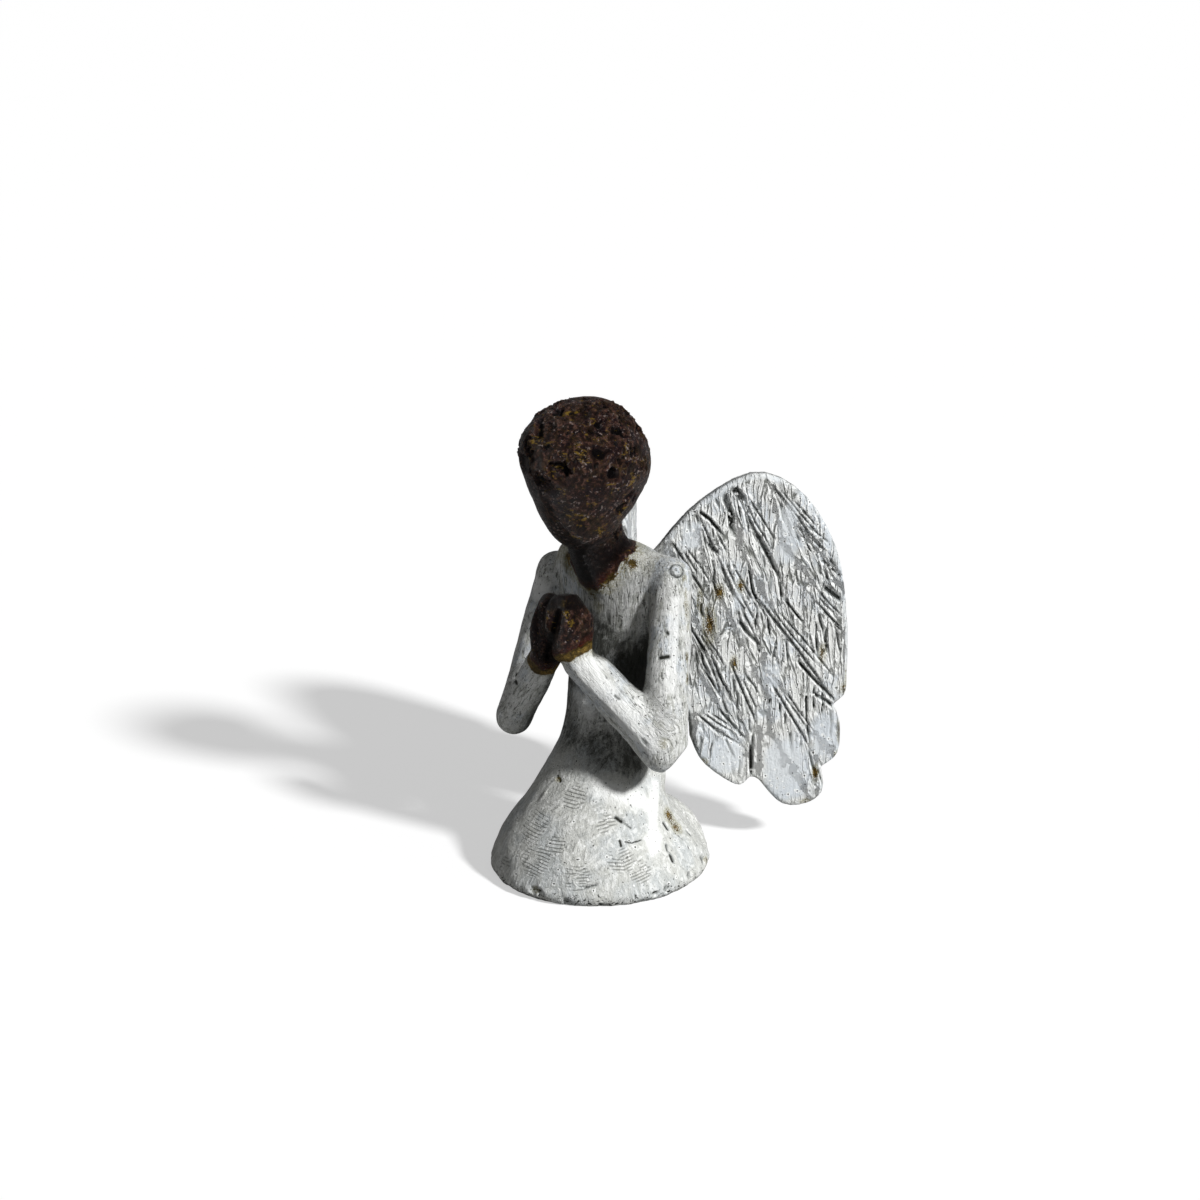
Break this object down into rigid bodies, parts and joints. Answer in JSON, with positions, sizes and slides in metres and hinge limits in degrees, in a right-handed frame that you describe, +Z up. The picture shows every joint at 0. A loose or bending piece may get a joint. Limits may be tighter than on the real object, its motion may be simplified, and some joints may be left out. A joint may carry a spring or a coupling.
{
  "type": "angel statuette",
  "caption": "Small cast-metal angel kneeling in a bell-shaped robe with its hands together in prayer, and two flat feathered wings swept back from the shoulders.",
  "frame": {"origin": "middle of the robe's flat underside, on the surface that the statuette stands on", "axes": "+Z up through the head, -Y the way the figure faces, +X to the figure's own left; the wings sweep back towards +Y"},
  "size_m": [0.045, 0.0497, 0.074],
  "materials": {
    "white_paint": "satin off-white paint worn to the metal on its edges, with dark brown paint on head and hands"
  },
  "bodies": {
    "root": {"angel": "white_paint"}
  },
  "joints": []
}
